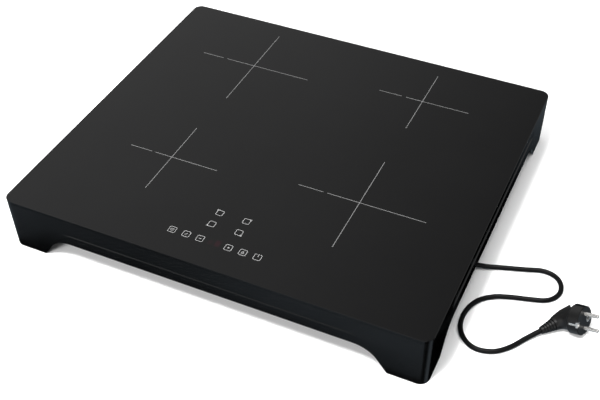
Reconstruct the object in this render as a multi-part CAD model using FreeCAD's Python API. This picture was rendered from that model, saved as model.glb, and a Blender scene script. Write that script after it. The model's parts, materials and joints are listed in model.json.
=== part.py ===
import FreeCAD, Part
import os, math

# Free-standing four-zone induction cooktop.
# Millimetres, +X to the right, +Y to the back, +Z up.
# Origin: on the surface it stands on, under the centre of the body.

V = FreeCAD.Vector
os.makedirs("parts", exist_ok=True)

# ---------------------------------------------------------------- sizes
W = 590.0            # body width
D = 520.0            # body depth
H = 80.0             # top of the glass above the floor
R_CORNER = 13.0      # vertical corner radius
GLASS_T = 4.0
BEAD_T = 0.4         # adhesive bead between glass and frame
WALL = 3.0           # skirt wall
FOOT_Z = 0.4         # underside of the moulded feet, the rubber pads reach the floor
ARCH_Z = 35.0        # lower edge of the skirt between the feet
ARCH_FRONT = 200.0   # half length of the straight part of the front and rear arch
ARCH_SIDE = 166.0    # the same on the sides
ARCH_R = 38.8        # round from the arch down into the foot
ARCH_SLOPE = 55.0    # slope of the foot's inner edge
FOOT_R = 4.0         # round at the foot's toe
BAND_Z = 50.2        # lower edge of the groove above the front and rear arch
BAND_Z_SIDE = 56.2   # the same on the sides
BAND_DEPTH = 1.6     # groove of the front and rear face, level top
BAND_DEPTH_SIDE = 1.1
BAND_RUN_SIDE = 10.0 # height over which the side groove runs out to the face again
LEDGE_W = 14.0       # ledge that carries the glass, measured from the outside
LEDGE_T = 3.0

PAN_X = 278.0        # half sizes of the lower casing
PAN_Y = 243.0
PAN_Z0 = 28.0
PAN_T = 1.0

ZONES = {            # name: (centre x, centre y, outer radius of the coil)
    "rear_left": (-131.5, 141.5, 88.0),
    "front_left": (-135.0, -96.0, 68.0),
    "rear_right": (132.0, 162.0, 68.0),
    "front_right": (132.0, -76.0, 88.0),
}
COIL_HOLE = 21.0     # inner radius of every winding
KEY_ROW_Y = -218.3
KEYS = [(-64.5, KEY_ROW_Y), (-44.5, KEY_ROW_Y), (-24.5, KEY_ROW_Y),
        (15.5, KEY_ROW_Y), (35.5, KEY_ROW_Y), (55.5, KEY_ROW_Y),
        (-24.0, -167.0), (-24.0, -189.0), (15.5, -167.0), (15.5, -189.0)]

CORD_D = 6.4
ROUTE = [(238.0, -60.0, 19.0), (258.0, -60.0, 19.0), (279.0, -53.0, 9.8),
         (299.0, -44.6, 3.2), (325.0, -35.6, 3.2), (350.0, -28.0, 3.2),
         (374.5, -18.8, 3.2), (396.2, -26.6, 3.2), (404.0, -49.0, 3.2),
         (393.0, -70.0, 3.2), (367.0, -77.5, 3.2), (345.0, -83.0, 3.2),
         (323.0, -91.5, 3.2), (305.0, -109.5, 3.2), (298.3, -138.5, 3.2),
         (304.3, -165.5, 3.2), (325.0, -184.0, 3.2), (350.5, -180.5, 3.2),
         (369.5, -163.0, 3.2), (382.0, -142.0, 3.9), (396.0, -125.0, 6.6)]

PLUG_FACE = (441.85, -101.6, 22.4)  # centre of the plug's front face
PLUG_YAW = -14.7                    # heading of the pins in the floor plane
PLUG_TILT = 20.0                    # the head leans back on its rear rim
PLUG_ROLL = -17.0                   # line of the earth clips about the pin axis
PLUG_R = 18.7
PIN_R = 2.4
PIN_ROOT_R = 2.0     # the part of a pin that the plug is moulded round
PIN_L = 19.0
PIN_PITCH = 19.0

NODES = {}


# -------------------------------------------------------------- helpers
def box(x0, y0, z0, x1, y1, z1):
    return Part.makeBox(x1 - x0, y1 - y0, z1 - z0, V(x0, y0, z0))


def cyl(x, y, z0, z1, r):
    return Part.makeCylinder(r, z1 - z0, V(x, y, z0), V(0, 0, 1))


def tube(x, y, z0, z1, ro, ri):
    return cyl(x, y, z0, z1, ro).cut(cyl(x, y, z0, z1, ri))


def fuse(shapes):
    s = shapes[0]
    if len(shapes) > 1:
        s = s.multiFuse(shapes[1:])
    return s.removeSplitter()


def group(shapes):
    return Part.makeCompound(shapes)


def rrect_wire(x0, y0, x1, y1, r, z):
    k = r * (1 - math.sqrt(0.5))
    e = [Part.makeLine(V(x0 + r, y0, z), V(x1 - r, y0, z)),
         Part.Arc(V(x1 - r, y0, z), V(x1 - k, y0 + k, z), V(x1, y0 + r, z)).toShape(),
         Part.makeLine(V(x1, y0 + r, z), V(x1, y1 - r, z)),
         Part.Arc(V(x1, y1 - r, z), V(x1 - k, y1 - k, z), V(x1 - r, y1, z)).toShape(),
         Part.makeLine(V(x1 - r, y1, z), V(x0 + r, y1, z)),
         Part.Arc(V(x0 + r, y1, z), V(x0 + k, y1 - k, z), V(x0, y1 - r, z)).toShape(),
         Part.makeLine(V(x0, y1 - r, z), V(x0, y0 + r, z)),
         Part.Arc(V(x0, y0 + r, z), V(x0 + k, y0 + k, z), V(x0 + r, y0, z)).toShape()]
    return Part.Wire(e)


def rprism(x0, y0, x1, y1, r, z0, z1):
    return Part.Face(rrect_wire(x0, y0, x1, y1, r, z0)).extrude(V(0, 0, z1 - z0))


def slab(inset, r, z0, z1):
    return rprism(-W / 2 + inset, -D / 2 + inset, W / 2 - inset, D / 2 - inset, r, z0, z1)


def prism(points, direction):
    pts = [V(*p) for p in points]
    return Part.Face(Part.makePolygon(pts + [pts[0]])).extrude(V(*direction))


def slot(x, y, z0, z1, length, width, along_x):
    a, b = (length / 2, width / 2) if along_x else (width / 2, length / 2)
    return rprism(x - a, y - b, x + a, y + b, width / 2 - 0.01, z0, z1)


def check(name, shape, solids=None):
    if not shape.isValid():
        print("INVALID", name)
    n = len(shape.Solids)
    if solids is not None and n != solids:
        print("SOLIDS", name, n, "expected", solids)
    NODES[name] = shape


# ------------------------------------------------------ glass and bead
glass = slab(0, R_CORNER, H - GLASS_T, H)
top_edges = [e for e in glass.Edges
             if abs(e.BoundBox.ZMin - H) < 1e-6 and abs(e.BoundBox.ZMax - H) < 1e-6]
glass = glass.makeChamfer(0.5, top_edges)
check("glass_top", glass, 1)

SKIRT_Z1 = H - GLASS_T - BEAD_T
bead = slab(1.2, R_CORNER - 1.2, SKIRT_Z1, H - GLASS_T).cut(
    slab(9.0, R_CORNER - 9.0, SKIRT_Z1, H - GLASS_T))
check("glass_adhesive", bead, 1)

# ------------------------------------------------- skirt with four feet
skirt = slab(0, R_CORNER, FOOT_Z, SKIRT_Z1).cut(
    slab(WALL, R_CORNER - WALL, FOOT_Z, SKIRT_Z1))


def arch_wire(half, cut_z):
    """The opening between two feet, in its own plane: (u, z) points and arcs."""
    a = math.radians(ARCH_SLOPE)
    cz = ARCH_Z - ARCH_R
    t = (half + ARCH_R * math.sin(a), cz + ARCH_R * math.cos(a))
    down = (math.cos(a), -math.sin(a))
    k = (t[1] - FOOT_Z) / math.sin(a)
    toe = (t[0] + down[0] * k, FOOT_Z)
    tl = FOOT_R / math.tan(math.radians(90 - ARCH_SLOPE / 2))
    s = (toe[0] - down[0] * tl, toe[1] - down[1] * tl)
    e = (toe[0] + tl, FOOT_Z)
    c = (e[0], FOOT_Z + FOOT_R)
    mid_dir = math.atan2((s[1] - c[1]) + (e[1] - c[1]), (s[0] - c[0]) + (e[0] - c[0]))
    m = (c[0] + FOOT_R * math.cos(mid_dir), c[1] + FOOT_R * math.sin(mid_dir))
    am = a / 2
    mm = (half + ARCH_R * math.sin(am), cz + ARCH_R * math.cos(am))
    right = [("line", (e[0], cut_z), e), ("arc", e, m, s), ("line", s, t),
             ("arc", t, mm, (half, ARCH_Z))]
    out = list(right)
    out.append(("line", (half, ARCH_Z), (-half, ARCH_Z)))
    for item in reversed(right):
        pts = [(-p[0], p[1]) for p in reversed(item[1:])]
        out.append((item[0],) + tuple(pts))
    out.append(("line", (-e[0], cut_z), (e[0], cut_z)))
    return out, toe[0]


def wire_from(items, to3):
    edges = []
    for it in items:
        p = [to3(*q) for q in it[1:]]
        if it[0] == "line":
            edges.append(Part.makeLine(p[0], p[1]))
        else:
            edges.append(Part.Arc(p[0], p[1], p[2]).toShape())
    return Part.Wire(edges)


front_items, TOE_X = arch_wire(ARCH_FRONT, -5.0)
side_items, TOE_Y = arch_wire(ARCH_SIDE, -5.0)
front_tool = Part.Face(wire_from(front_items, lambda u, z: V(u, -D / 2 - 5, z))).extrude(V(0, D + 10, 0))
side_tool = Part.Face(wire_from(side_items, lambda u, z: V(-W / 2 - 5, u, z))).extrude(V(W + 10, 0, 0))
skirt = skirt.cut(front_tool).cut(side_tool)


def band_tool(u_half, dist, axis, top, lip, run):
    """Shallow groove above an arch: sloping lower flank, ends that fade out, and above
    it either a level top (run = 0) or a long slope back to the face."""
    prof = [("line", (2.0, top + lip + run), (0.0, top + lip + run)),
            ("line", (0.0, top + lip + run), (-lip, top + lip)),
            ("line", (-lip, top + lip), (0.0, top)),
            ("line", (0.0, top), (2.0, top)),
            ("line", (2.0, top), (2.0, top + lip + run))]
    plan = [(-u_half, 0), (-u_half + 14, -lip), (u_half - 14, -lip), (u_half, 0),
            (u_half, 2), (-u_half, 2)]
    if axis == "x":      # runs along X on the faces y = -dist and y = +dist
        a = Part.Face(wire_from(prof, lambda n, z: V(-u_half, -dist - n, z))).extrude(V(2 * u_half, 0, 0))
        b = prism([(u, -dist - n, 20.0) for u, n in plan], (0, 0, 50.0))
        t = a.common(b)
        return [t, t.mirror(V(0, 0, 0), V(0, 1, 0))]
    a = Part.Face(wire_from(prof, lambda n, z: V(dist + n, -u_half, z))).extrude(V(0, 2 * u_half, 0))
    b = prism([(dist + n, u, 20.0) for u, n in plan], (0, 0, 50.0))
    t = a.common(b)
    return [t, t.mirror(V(0, 0, 0), V(1, 0, 0))]


for tool in band_tool(ARCH_FRONT + 4, D / 2, "x", BAND_Z, BAND_DEPTH, 0.0) + \
        band_tool(ARCH_SIDE + 14, W / 2, "y", BAND_Z_SIDE, BAND_DEPTH_SIDE, BAND_RUN_SIDE):
    skirt = skirt.cut(tool)

ledge = slab(WALL - 0.5, R_CORNER - WALL + 0.5, SKIRT_Z1 - LEDGE_T, SKIRT_Z1).cut(
    slab(LEDGE_W, 3.0, SKIRT_Z1 - LEDGE_T, SKIRT_Z1))
feet = []
for sx in (-1, 1):
    for sy in (-1, 1):
        ex, ey = TOE_X + 3.0, TOE_Y + 3.0
        f = box(ex, ey, FOOT_Z, W / 2 - 1, D / 2 - 1, FOOT_Z + 3.4)
        f = f.fuse(box(ex, ey, FOOT_Z, ex + 2.4, D / 2 - 1, PAN_Z0 - 0.6))
        f = f.fuse(box(ex, ey, FOOT_Z, W / 2 - 1, ey + 2.4, PAN_Z0 - 0.6))
        f = f.common(slab(0.5, R_CORNER - 0.5, 0, H))
        f = f.cut(cyl((ex + W / 2) / 2 + 1, (ey + D / 2) / 2 + 1, 0, FOOT_Z + 1.4, 11.0))
        if sx < 0:
            f = f.mirror(V(0, 0, 0), V(1, 0, 0))
        if sy < 0:
            f = f.mirror(V(0, 0, 0), V(0, 1, 0))
        feet.append(f)
PAD_X = (TOE_X + 3.0 + W / 2) / 2 + 1
PAD_Y = (TOE_Y + 3.0 + D / 2) / 2 + 1

PAN_SCREWS = [(sx * 284.6, y) for sx in (-1, 1) for y in (-190.0, -60.0, 70.0, 190.0)] + \
             [(x, sy * 249.6) for sy in (-1, 1) for x in (-210.0, -70.0, 70.0, 210.0)]
ledge_holes = [cyl(x, y, SKIRT_Z1 - LEDGE_T, SKIRT_Z1 - 0.4, 1.6) for x, y in PAN_SCREWS]
skirt = fuse([skirt, ledge] + feet).cut(group(ledge_holes))
check("housing_frame", skirt, 1)

pads = [cyl(sx * PAD_X, sy * PAD_Y, 0, FOOT_Z + 1.4, 10.8) for sx in (-1, 1) for sy in (-1, 1)]
pads = [p.makeChamfer(0.4, [e for e in p.Edges if abs(e.BoundBox.ZMax) < 1e-6 and len(e.Vertexes) == 1]) for p in pads]
check("foot_pads", group(pads), 4)

# ------------------------------------------------------- lower casing
LEDGE_Z0 = SKIRT_Z1 - LEDGE_T
pan_out = rprism(-PAN_X, -PAN_Y, PAN_X, PAN_Y, 6.0, PAN_Z0, LEDGE_Z0)
pan_in = rprism(-PAN_X + PAN_T, -PAN_Y + PAN_T, PAN_X - PAN_T, PAN_Y - PAN_T, 5.0, PAN_Z0 + PAN_T, LEDGE_Z0)
flange = rprism(-289.0, -254.0, 289.0, 254.0, 8.0, LEDGE_Z0 - PAN_T, LEDGE_Z0)
pan = pan_out.fuse(flange).cut(pan_in).removeSplitter()
FANS = {"left": (-205.0, 160.0), "right": (205.0, 160.0)}
FAN_S = 44.0         # half side of the blower housing
holes = []
for fx, fy in FANS.values():
    for i in range(-3, 4):
        length = 2 * math.sqrt(26.0 ** 2 - (i * 7.4) ** 2)
        holes.append(slot(fx + i * 7.4, fy, PAN_Z0 - 1, PAN_Z0 + 2, length, 4.4, False))
for i in range(16):
    x = -150 + i * 20.0
    holes.append(slot(x, -222.0, PAN_Z0 - 1, PAN_Z0 + 2, 22.0, 4.4, False))
for i in range(12):
    x = -110 + i * 20.0
    holes.append(slot(x, 222.0, PAN_Z0 - 1, PAN_Z0 + 2, 22.0, 4.4, False))
HOOD = (142.0, -98.0, 205.0, -42.0, 9.0)     # x0, y0, x1, y1, lowest z of the cable cover
CABLE_HOLE = (166.0, -60.0, 8.0)
holes.append(cyl(CABLE_HOLE[0], CABLE_HOLE[1], PAN_Z0 - 1, PAN_Z0 + 2, CABLE_HOLE[2]))
HOOD_SCREWS = [(147.5, -92.5), (199.5, -92.5), (147.5, -47.5), (199.5, -47.5)]
holes += [cyl(x, y, PAN_Z0 - 1, PAN_Z0 + 2, 1.6) for x, y in HOOD_SCREWS]
holes += [cyl(x, y, LEDGE_Z0 - 2, LEDGE_Z0 + 1, 1.6) for x, y in PAN_SCREWS]
PILLARS = [(sx * x, y) for sx in (-1, 1) for x, y in
           ((20.0, -140.0), (20.0, 120.0), (20.0, 225.0), (262.0, -140.0), (262.0, 25.0), (262.0, 225.0))]
holes += [cyl(x, y, PAN_Z0 - 1, PAN_Z0 + 2, 1.6) for x, y in PILLARS]
pan = pan.cut(group(holes))
check("bottom_pan", pan, 1)


def screw(x, y, z_head, up, length, r=1.45, head_r=2.8, head_h=1.6, sign=1):
    """Pan-head screw whose head underside is at z_head; up=True points upwards."""
    if up:
        s = cyl(x, y, z_head, z_head + length, r).fuse(cyl(x, y, z_head - head_h, z_head, head_r))
        s = s.cut(box(x - 0.35, y - 1.7, z_head - head_h, x + 0.35, y + 1.7, z_head - head_h + 0.8))
        s = s.cut(box(x - 1.7, y - 0.35, z_head - head_h, x + 1.7, y + 0.35, z_head - head_h + 0.8))
    else:
        s = cyl(x, y, z_head - length, z_head, r).fuse(cyl(x, y, z_head, z_head + head_h, head_r))
        s = s.cut(box(x - 0.35, y - 1.7, z_head + head_h - 0.8, x + 0.35, y + 1.7, z_head + head_h))
        s = s.cut(box(x - 1.7, y - 0.35, z_head + head_h - 0.8, x + 1.7, y + 0.35, z_head + head_h))
    return s.removeSplitter()


casing_screws = [screw(x, y, LEDGE_Z0 - PAN_T, True, 3.2) for x, y in PAN_SCREWS]

# -------------------------------------- cable cover, gland, cord clamp
hx0, hy0, hx1, hy1, hz0 = HOOD
hood = rprism(hx0, hy0, hx1, hy1, 5.0, hz0, PAN_Z0)
hood = hood.makeFillet(2.5, [e for e in hood.Edges if abs(e.BoundBox.ZMax - hz0) < 1e-6])
hood = hood.cut(rprism(hx0 + 2, hy0 + 2, hx1 - 2, hy1 - 2, 3.0, hz0 + 2, PAN_Z0))
bosses = [cyl(x, y, hz0 + 1, PAN_Z0, 3.6) for x, y in HOOD_SCREWS]
hood = hood.multiFuse([b.common(rprism(hx0, hy0, hx1, hy1, 5.0, hz0, PAN_Z0)) for b in bosses]).removeSplitter()
hood = hood.cut(group([cyl(x, y, hz0 - 1, PAN_Z0 + 1, 1.6) for x, y in HOOD_SCREWS] +
                      [cyl(x, y, hz0 - 1, hz0 + 2.2, 3.1) for x, y in HOOD_SCREWS]))
ex, ey, ez = ROUTE[0]
hood = hood.cut(Part.makeCylinder(5.6, 12, V(hx1 - 6, ey, ez), V(1, 0, 0)))
check("cable_cover", hood, 1)
casing_screws += [screw(x, y, hz0 + 2.2, True, PAN_Z0 + PAN_T + 2.0 - hz0 - 2.2) for x, y in HOOD_SCREWS]
check("casing_screws", group(casing_screws), 20)

GLAND_L = ex - hx1
gl = Part.makeCone(7.2, 4.7, GLAND_L, V(hx1, ey, ez), V(1, 0, 0))
gl = gl.fuse(Part.makeCylinder(5.6, hx1 - hx0 - 56, V(hx0 + 56, ey, ez), V(1, 0, 0)))
gl = gl.fuse(Part.makeCylinder(7.6, 2.6, V(hx1 - 4.6, ey, ez), V(1, 0, 0)))
rings = []
for i in range(6):
    x = hx1 + 5.5 + i * 3.8
    rr = 7.2 - (7.2 - 4.7) * (x - hx1) / GLAND_L
    rings.append(Part.makeCylinder(rr + 2, 1.3, V(x, ey, ez), V(1, 0, 0)).cut(
        Part.makeCylinder(rr - 1.1, 1.3, V(x, ey, ez), V(1, 0, 0))))
gl = gl.cut(group(rings))
gl = gl.removeSplitter()
check("cord_gland", gl, 1)

# inner end of the cable: from the gland through the casing to the terminals
CLAMP_Z = ez - CORD_D / 2
clamp = box(hx0 + 38, ey - 9, hz0 + 2, hx0 + 48, ey + 9, CLAMP_Z)
clamp = clamp.fuse(box(hx0 + 38, ey - 9, CLAMP_Z - 1, hx0 + 48, ey - 3.6, ez + 3))
clamp = clamp.fuse(box(hx0 + 38, ey + 3.6, CLAMP_Z - 1, hx0 + 48, ey + 9, ez + 3))
clamp = clamp.removeSplitter()
check("cord_clamp", clamp, 1)

# ------------------------------------------------------------- mains cord


def cord_path(points):
    """Straight runs joined by tangent arcs, as large as the runs allow."""
    p = [V(*q) for q in points]
    edges, radii = [], []
    last = p[0]
    for i in range(1, len(p) - 1):
        a = (p[i - 1] - p[i])
        b = (p[i + 1] - p[i])
        la, lb = a.Length, b.Length
        a.normalize()
        b.normalize()
        turn = math.pi - a.getAngle(b)
        t = 0.45 * min(la, lb)
        r = t / math.tan(turn / 2)
        s = p[i] + a * t
        e = p[i] + b * t
        bis = a + b
        bis.normalize()
        mid = p[i] + bis * (r / math.cos(turn / 2) - r)
        edges.append(Part.LineSegment(last, s).toShape())
        edges.append(Part.Arc(s, mid, e).toShape())
        radii.append(round(r, 1))
        last = e
    edges.append(Part.LineSegment(last, p[-1]).toShape())
    return Part.Wire(edges), radii


def sweep(points, r):
    path, radii = cord_path(points)
    start = V(*points[0])
    d = V(*points[1]) - start
    d.normalize()
    prof = Part.Wire([Part.Circle(start, d, r).toShape()])
    s = path.makePipeShell([prof], True, False)
    return s, path, radii


cord, cpath, cradii = sweep(ROUTE, CORD_D / 2)
print("cord radii", cradii)
print("cord length %.1f volume ratio %.4f" % (cpath.Length, cord.Volume / (cpath.Length * math.pi * CORD_D ** 2 / 4)))
check("power_cord", cord, 1)

# ---------------------------------------------------------------- plug
yaw = math.radians(PLUG_YAW)
tilt = math.radians(PLUG_TILT)
roll = math.radians(PLUG_ROLL)
P_AX = V(math.cos(yaw) * math.cos(tilt), math.sin(yaw) * math.cos(tilt), math.sin(tilt))
FAR = V(-math.sin(yaw), math.cos(yaw), 0)
A_AX = FAR * math.cos(roll) + P_AX.cross(FAR) * math.sin(roll)
W_AX = P_AX.cross(A_AX)
M = FreeCAD.Matrix(P_AX.x, A_AX.x, W_AX.x, PLUG_FACE[0],
                   P_AX.y, A_AX.y, W_AX.y, PLUG_FACE[1],
                   P_AX.z, A_AX.z, W_AX.z, PLUG_FACE[2],
                   0, 0, 0, 1)


def put(shape):
    s = shape.copy()
    s.Placement = FreeCAD.Placement(M)
    return s


def xc(x0, x1, r, y=0.0, z=0.0):
    return Part.makeCylinder(r, x1 - x0, V(x0, y, z), V(1, 0, 0))


head = xc(-16.0, 0, PLUG_R)
head = head.makeFillet(3.0, [e for e in head.Edges if abs(e.BoundBox.XMax + 16.0) < 1e-6 and len(e.Vertexes) == 1])
head = head.makeChamfer(0.9, [e for e in head.Edges if abs(e.BoundBox.XMin) < 1e-6 and len(e.Vertexes) == 1])
head = put(head)
tail = V(*ROUTE[-1])
d0 = tail - V(*ROUTE[-2])
d0.normalize()
RELIEF_L = 21.0
R0, R1 = 4.7, 8.6
N = tail + d0 * RELIEF_L
relief = Part.makeCone(R0, R1 + (R1 - R0) / RELIEF_L, RELIEF_L + 1.0, tail, d0)
cuts = []
for i in range(5):
    s = 2.6 + i * 3.5
    rr = R0 + (R1 - R0) * s / RELIEF_L
    c = tail + d0 * s
    cuts.append(Part.makeCylinder(rr + 3, 1.6, c, d0).cut(Part.makeCylinder(rr - 1.2, 1.6, c, d0)))
relief = relief.cut(group(cuts))
B = V(*PLUG_FACE) - P_AX * 11.0


def ring(c, n, r):
    n = V(n.x, n.y, n.z)
    n.normalize()
    return Part.Wire([Part.Circle(c, n, r).toShape()])


s0 = ring(N, d0, R1)
c1 = N + (B - N) * 0.34 + V(-0.6, 1.6, 0.3)
c2 = N + (B - N) * 0.66 + V(-0.4, 1.0, 0.5)
s1 = ring(c1, V(0.78, 0.56, 0.26), 11.2)
s2 = ring(c2, V(0.90, 0.20, 0.33), 14.2)
s3 = ring(B, P_AX, 16.6)
neck = Part.makeLoft([s0, s1, s2, s3], True, False)
# grip rib on the far upper side of the neck
ax = B - N
ax.normalize()
rib = V(-0.73, 0.49, 0.465)
rib = rib - ax * rib.dot(ax)
rib.normalize()
side = ax.cross(rib)
h0 = V(*PLUG_FACE) - P_AX * 14.5
rib_pts = [tail + d0 * 15.0 + rib * 5.0, c1 + rib * 8.0, h0 + rib * 12.0, h0 + rib * 17.6,
           c1 + rib * 13.6, tail + d0 * 17.0 + rib * 9.6]
rib_pts = [q - side * 1.6 - side * (q - N).dot(side) for q in rib_pts]
fin = Part.Face(Part.makePolygon(rib_pts + [rib_pts[0]])).extrude(side * 3.2)
plug = head.fuse(neck).fuse(relief).fuse(fin)


def clip_bar(sgn, grow):
    """Earth clip: strip along the head's side, wide at its front end."""
    g = grow
    b = [box(-11.6 - g, 17.0, -1.4 - g, 0.0, 17.9 + 9 * g, 1.4 + g),
         box(-2.4 - g, 17.0, -3.6 - g, 0.0, 17.9 + 9 * g, 3.6 + g),
         box(-0.8, 12.9 if sgn < 0 else 9.0, -3.0, 0.0, 17.9, 3.0)]
    a = fuse(b)
    if sgn < 0:
        a = a.mirror(V(0, 0, 0), V(0, 1, 0))
    return a


clip_cut = [clip_bar(1, 0.3), clip_bar(-1, 0.3)]
clip_cut += [xc(-10, 0, 3.3, 9.0, 0), xc(-0.8, 0, 4.3, 9.0, 0)]
for sgn in (1, -1):   # guide grooves in line with the pins
    clip_cut.append(box(-17.0, -2.4, sgn * 17.2 if sgn > 0 else -21.0, 1.0, 2.4, 21.0 if sgn > 0 else -17.2))
pin_holes = [xc(-10, 1, PIN_ROOT_R, 0, s * PIN_PITCH / 2) for s in (1, -1)]
plug = plug.cut(put(fuse(clip_cut[:4]))).cut(put(group(clip_cut[4:]))).cut(put(group(pin_holes))).removeSplitter()
check("plug_body", plug, 1)
pins = []
for s in (1, -1):
    q = xc(0.5, PIN_L, PIN_R, 0, s * PIN_PITCH / 2).fuse(xc(-10, 0.5, PIN_ROOT_R, 0, s * PIN_PITCH / 2))
    q = q.makeFillet(1.6, [e for e in q.Edges if abs(e.BoundBox.XMin - PIN_L) < 1e-6 and len(e.Vertexes) == 1])
    pins.append(put(q))
check("plug_pins", group(pins), 2)
sleeve = xc(-10, 0, 3.3, 9.0, 0).cut(xc(-9, 1, 2.45, 9.0, 0))
flange = xc(-0.8, 0, 4.3, 9.0, 0).cut(xc(-0.9, 1, 2.45, 9.0, 0))
far_clip = fuse([clip_bar(1, 0.0).cut(xc(-9, 1, 2.45, 9.0, 0)), sleeve, flange])
clips = [put(far_clip), put(clip_bar(-1, 0.0))]
check("plug_earth_contacts", group(clips), 2)

# ---------------------------------------------------- coils of the zones
Z_DISC1 = H - GLASS_T
Z_DISC0 = Z_DISC1 - 3.0
Z_WIND0 = Z_DISC0 - 3.2
Z_FER0 = Z_WIND0 - 4.0
Z_CAR0 = Z_FER0 - 2.0
TRAY_Z0, TRAY_Z1 = 55.8, 57.0
springs, sensors = [], []
for name, (cx, cy, ro) in ZONES.items():
    car = cyl(cx, cy, Z_CAR0, Z_FER0, ro + 3).fuse(tube(cx, cy, Z_FER0, Z_DISC0, ro + 3, ro + 1.2))
    car = car.cut(cyl(cx, cy, Z_CAR0, Z_FER0, 11.0)).removeSplitter()
    n = 8 if ro > 75 else 6
    notch = box(ro - 2, -5.0, Z_FER0 + 0.2, ro + 5, 5.0, Z_DISC0)
    lead_ang = 180 if cx > 0 else 0
    nb = notch.copy()
    nb.rotate(V(0, 0, 0), V(0, 0, 1), lead_ang)
    nb.translate(V(cx, cy, 0))
    car = car.cut(nb)
    check("coil_carrier_" + name, car, 1)
    bars = []
    for i in range(n):
        b = box(COIL_HOLE + 3, -5.5, Z_FER0, ro - 5, 5.5, Z_WIND0)
        b.rotate(V(0, 0, 0), V(0, 0, 1), (i + 0.5) * 360.0 / n)
        b.translate(V(cx, cy, 0))
        bars.append(b)
    check("ferrite_bars_" + name, group(bars), n)
    # winding: turns of round litz side by side, as one ring body
    pitch = 3.35
    turns = int((ro - COIL_HOLE) / pitch)
    zc = (Z_WIND0 + Z_DISC0) / 2
    h = (Z_DISC0 - Z_WIND0) / 2
    outline = []
    for i in range(turns):
        r0 = COIL_HOLE + i * pitch
        outline += [(r0, zc - h * 0.55), (r0 + pitch * 0.28, zc - h), (r0 + pitch * 0.72, zc - h)]
    rl = COIL_HOLE + turns * pitch
    outline += [(rl, zc - h * 0.55), (rl, zc + h * 0.55)]
    for i in reversed(range(turns)):
        r0 = COIL_HOLE + i * pitch
        outline += [(r0 + pitch * 0.72, zc + h), (r0 + pitch * 0.28, zc + h), (r0, zc + h * 0.55)]
    es = [Part.makeLine(V(p[0], 0, p[1]), V(q[0], 0, q[1])) for p, q in zip(outline, outline[1:] + outline[:1])]
    wind = Part.Face(Part.Wire(es)).revolve(V(0, 0, 0), V(0, 0, 1), 360)
    wind.translate(V(cx, cy, 0))
    if wind.Volume < 0:
        wind.reverse()
    check("coil_winding_" + name, wind, 1)
    check("insulation_disc_" + name, tube(cx, cy, Z_DISC0, Z_DISC1, ro + 3, 9.0), 1)
    sensors.append(cyl(cx, cy, Z_CAR0 - 1.0, Z_DISC1, 7.5).fuse(cyl(cx, cy, Z_CAR0 - 1.0, Z_CAR0, 12.5)).removeSplitter())
    for i in range(3):
        a = math.radians(90 + 120 * i)
        rr = ro * 0.72
        sx, sy = cx + rr * math.cos(a), cy + rr * math.sin(a)
        z0, z1 = TRAY_Z1, Z_CAR0
        hh = z1 - z0
        t = 0.6
        outer = Part.Arc(V(-13, 0, z0), V(0, 0, z1), V(13, 0, z0))
        inner = Part.Arc(V(13 - 2.2, 0, z0), V(0, 0, z1 - t), V(-13 + 2.2, 0, z0))
        w = Part.Wire([outer.toShape(), Part.makeLine(V(13, 0, z0), V(13 - 2.2, 0, z0)), inner.toShape(),
                       Part.makeLine(V(-13 + 2.2, 0, z0), V(-13, 0, z0))])
        sp = Part.Face(w).extrude(V(0, 8, 0))
        sp.translate(V(0, -4, 0))
        sp.rotate(V(0, 0, 0), V(0, 0, 1), 90 + 120 * i)
        sp.translate(V(sx, sy, 0))
        springs.append(sp)
check("temperature_sensors", group(sensors), 4)
check("coil_springs", group(springs), 12)

# --------------------------------------------- trays and their pillars
trays = {}
for side, sx in (("left", -1), ("right", 1)):
    x0, x1 = (-271.0, -4.0) if sx < 0 else (4.0, 271.0)
    t = rprism(x0, -236.0, x1, 236.0, 6.0, TRAY_Z0, TRAY_Z1)
    y_in, y_out = -150.0, -230.0      # the inner flange stops behind the touch controls
    t = t.fuse(box(x0, y_out if sx < 0 else y_in, TRAY_Z1 - 0.5, x0 + 1.2, 230, TRAY_Z1 + 5))
    t = t.fuse(box(x1 - 1.2, y_in if sx < 0 else y_out, TRAY_Z1 - 0.5, x1, 230, TRAY_Z1 + 5))
    cut = []
    for name, (cx, cy, ro) in ZONES.items():
        if cx * sx > 0:
            cut.append(cyl(cx, cy, TRAY_Z0 - 1, TRAY_Z1 + 1, 15.0))
            lx = cx - sx * (ro + 9)
            cut.append(slot(lx, cy, TRAY_Z0 - 1, TRAY_Z1 + 1, 26.0, 12.0, False))
    cut += [cyl(x, y, TRAY_Z0 - 1, TRAY_Z1 + 1, 1.6) for x, y in PILLARS if x * sx > 0]
    t = t.cut(group(cut)).removeSplitter()
    check("coil_tray_" + side, t, 1)
pillars = []
for x, y in PILLARS:
    hexa = Part.makePolygon([V(x + 4 * math.cos(math.radians(60 * i)), y + 4 * math.sin(math.radians(60 * i)), PAN_Z0 + PAN_T) for i in range(7)])
    p = Part.Face(Part.Wire(hexa)).extrude(V(0, 0, TRAY_Z0 - PAN_Z0 - PAN_T))
    p = p.cut(cyl(x, y, PAN_Z0 + PAN_T, PAN_Z0 + PAN_T + 6, 1.6)).cut(cyl(x, y, TRAY_Z0 - 6, TRAY_Z0, 1.6))
    pillars.append(p)
inner_screws = [screw(x, y, TRAY_Z1, False, 6.0) for x, y in PILLARS] + \
               [screw(x, y, PAN_Z0, True, 6.0) for x, y in PILLARS]

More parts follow.
